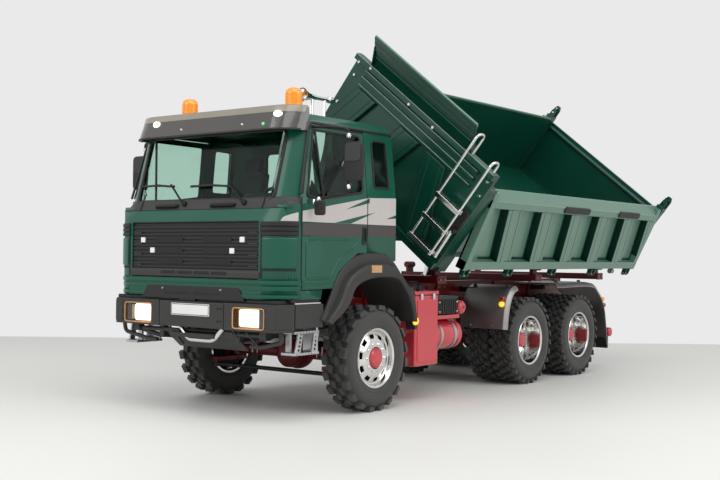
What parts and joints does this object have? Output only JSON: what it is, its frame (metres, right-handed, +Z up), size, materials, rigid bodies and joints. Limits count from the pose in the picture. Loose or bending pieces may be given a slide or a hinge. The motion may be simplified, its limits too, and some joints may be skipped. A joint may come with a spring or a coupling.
{
  "type": "scale model three-way tipper truck",
  "caption": "Metal scale model of an all-wheel-drive tipper truck with a hollow cab, tipped three-way bed, hinged side walls, steered front axle and twin rear wheels.",
  "frame": {"origin": "on the ground under the middle of the whole part's box, with the bed tipped", "axes": "+X to the cab, +Y to the driver's left, +Z up"},
  "size_m": [0.5278, 0.2638, 0.2901],
  "materials": {
    "green_paint": "dark green gloss enamel",
    "red_paint": "dark red satin enamel",
    "bright_red": "bright red gloss enamel",
    "black_plastic": "black satin moulding",
    "polished_aluminium": "polished",
    "brushed_aluminium": "brushed",
    "steel": "turned",
    "chrome": "bright chrome",
    "tyre": "moulded rubber",
    "clear_glass": "clear tinted",
    "smoked_plastic": "smoked translucent",
    "amber_lens": "amber lens",
    "red_lens": "red lens",
    "lamp_lens": "clear lens",
    "grey_fabric": "woven",
    "cast_iron": "cast"
  },
  "bodies": {
    "chassis": {"front_axle": "red_paint", "rear_axles": "red_paint", "leaf_springs": "red_paint", "driveline": "cast_iron", "engine_block": "cast_iron", "ladder_frame": "red_paint", "tipper_subframe": "red_paint", "cab_shell": "green_paint", "cab_roof": "green_paint", "windscreen": "clear_glass", "cab_glass": "clear_glass", "grille": "black_plastic", "sun_visor": "smoked_plastic", "beacons": "amber_lens", "air_horn": "chrome", "seats": "grey_fabric", "dashboard": "black_plastic", "front_bumper": "black_plastic", "headlamps": "lamp_lens", "front_guard": "black_plastic", "cab_steps": "brushed_aluminium", "front_mudguards": "black_plastic", "side_box": "bright_red", "battery_box": "black_plastic", "air_tanks": "bright_red", "fuel_tank": "bright_red", "rear_mudguards": "brushed_aluminium", "rear_underrun": "red_paint", "tail_lamps": "red_lens"},
    "bed": {"bed_floor": "green_paint", "bed_headboard": "green_paint", "bed_ladder": "brushed_aluminium"},
    "left_wall": {"wall_left": "green_paint"},
    "right_wall": {"wall_right": "green_paint"},
    "tail_gate": {"tailgate": "green_paint"},
    "left_door": {"door_left": "green_paint", "door_left_glass": "clear_glass", "mirror_left": "black_plastic"},
    "right_door": {"door_right": "green_paint", "door_right_glass": "clear_glass", "mirror_right": "black_plastic"},
    "left_knuckle": {"knuckle_left": "red_paint"},
    "right_knuckle": {"knuckle_right": "red_paint"},
    "track_rod": {"tie_rod": "steel"},
    "ram_tube": {"ram_barrel": "steel"},
    "ram_middle": {"ram_stage": "chrome"},
    "ram_end": {"ram_rod": "chrome"},
    "front_left_wheel": {"front_left_tyre": "tyre", "front_left_rim": "polished_aluminium"},
    "front_right_wheel": {"front_right_tyre": "tyre", "front_right_rim": "polished_aluminium"},
    "mid_left_wheel": {"mid_left_tyre": "tyre", "mid_left_rim": "polished_aluminium"},
    "mid_right_wheel": {"mid_right_tyre": "tyre", "mid_right_rim": "polished_aluminium"},
    "rear_left_wheel": {"rear_left_tyre": "tyre", "rear_left_rim": "polished_aluminium"},
    "rear_right_wheel": {"rear_right_tyre": "tyre", "rear_right_rim": "polished_aluminium"}
  },
  "joints": [
    {"name": "bed_tip", "type": "hinge", "parent": "chassis", "child": "bed", "pos_m": [-0.0539, 0.05358, 0.10525], "axis": [-1, 0, 0], "range_deg": [-39, 5.5]},
    {"name": "left_wall_swing", "type": "hinge", "parent": "bed", "child": "left_wall", "pos_m": [-0.0539, 0.1128, 0.16249], "axis": [1, 0, 0], "range_deg": [-12.8, 47.2]},
    {"name": "right_wall_swing", "type": "hinge", "parent": "bed", "child": "right_wall", "pos_m": [-0.0539, -0.01154, 0.26318], "axis": [-1, 0, 0], "range_deg": [0, 60]},
    {"name": "tailgate_swing", "type": "hinge", "parent": "bed", "child": "tail_gate", "pos_m": [-0.2609, 0.04685, 0.20817], "axis": [0, 0.7771, -0.6293], "range_deg": [0, 60]},
    {"name": "left_door_swing", "type": "hinge", "parent": "chassis", "child": "left_door", "pos_m": [0.2425, 0.06808, 0.14], "axis": [0, 0, -1], "range_deg": [0, 65]},
    {"name": "right_door_swing", "type": "hinge", "parent": "chassis", "child": "right_door", "pos_m": [0.2425, -0.10092, 0.14], "axis": [0, 0, 1], "range_deg": [0, 65]},
    {"name": "steer_left", "type": "hinge", "parent": "chassis", "child": "left_knuckle", "pos_m": [0.1561, 0.03958, 0.039], "axis": [0, 0, 1], "range_deg": [-30, 30]},
    {"name": "steer_right", "type": "hinge", "parent": "chassis", "child": "right_knuckle", "pos_m": [0.1561, -0.07242, 0.039], "axis": [0, 0, 1], "range_deg": [-30, 30]},
    {"name": "track_rod_pin", "type": "hinge", "parent": "left_knuckle", "child": "track_rod", "pos_m": [0.1801, 0.03958, 0.0272], "axis": [0, 0, 1], "range_deg": [-30, 30]},
    {"name": "front_left_roll", "type": "hinge", "parent": "left_knuckle", "child": "front_left_wheel", "pos_m": [0.1561, 0.05708, 0.039], "axis": [0, 1, 0], "continuous": true},
    {"name": "mid_left_roll", "type": "hinge", "parent": "chassis", "child": "mid_left_wheel", "pos_m": [-0.0769, 0.04458, 0.039], "axis": [0, 1, 0], "continuous": true},
    {"name": "rear_left_roll", "type": "hinge", "parent": "chassis", "child": "rear_left_wheel", "pos_m": [-0.1749, 0.04458, 0.039], "axis": [0, 1, 0], "continuous": true},
    {"name": "front_right_roll", "type": "hinge", "parent": "right_knuckle", "child": "front_right_wheel", "pos_m": [0.1561, -0.08992, 0.039], "axis": [0, 1, 0], "continuous": true},
    {"name": "mid_right_roll", "type": "hinge", "parent": "chassis", "child": "mid_right_wheel", "pos_m": [-0.0769, -0.07742, 0.039], "axis": [0, 1, 0], "continuous": true},
    {"name": "rear_right_roll", "type": "hinge", "parent": "chassis", "child": "rear_right_wheel", "pos_m": [-0.1749, -0.07742, 0.039], "axis": [0, 1, 0], "continuous": true},
    {"name": "ram_lean", "type": "hinge", "parent": "chassis", "child": "ram_tube", "pos_m": [-0.0339, -0.01642, 0.086], "axis": [-1, 0, 0], "range_deg": [-16.65, 3.28]},
    {"name": "ram_middle_slide", "type": "slide", "parent": "ram_tube", "child": "ram_middle", "axis": [0, 0.2781, 0.9605], "range_m": [-0.02318, 0.0037]},
    {"name": "ram_end_slide", "type": "slide", "parent": "ram_middle", "child": "ram_end", "axis": [0, 0.2781, 0.9605], "range_m": [-0.02318, 0.0037]}
  ],
  "couplings": [
    {"joint": "steer_right", "follows": "steer_left", "ratio": 1},
    {"joint": "track_rod_pin", "follows": "steer_left", "ratio": -1},
    {"joint": "ram_lean", "follows": "bed_tip", "ratio": 0.41405},
    {"joint": "ram_middle_slide", "follows": "bed_tip", "m_per_rad": 0.033322},
    {"joint": "ram_end_slide", "follows": "bed_tip", "m_per_rad": 0.033322}
  ]
}
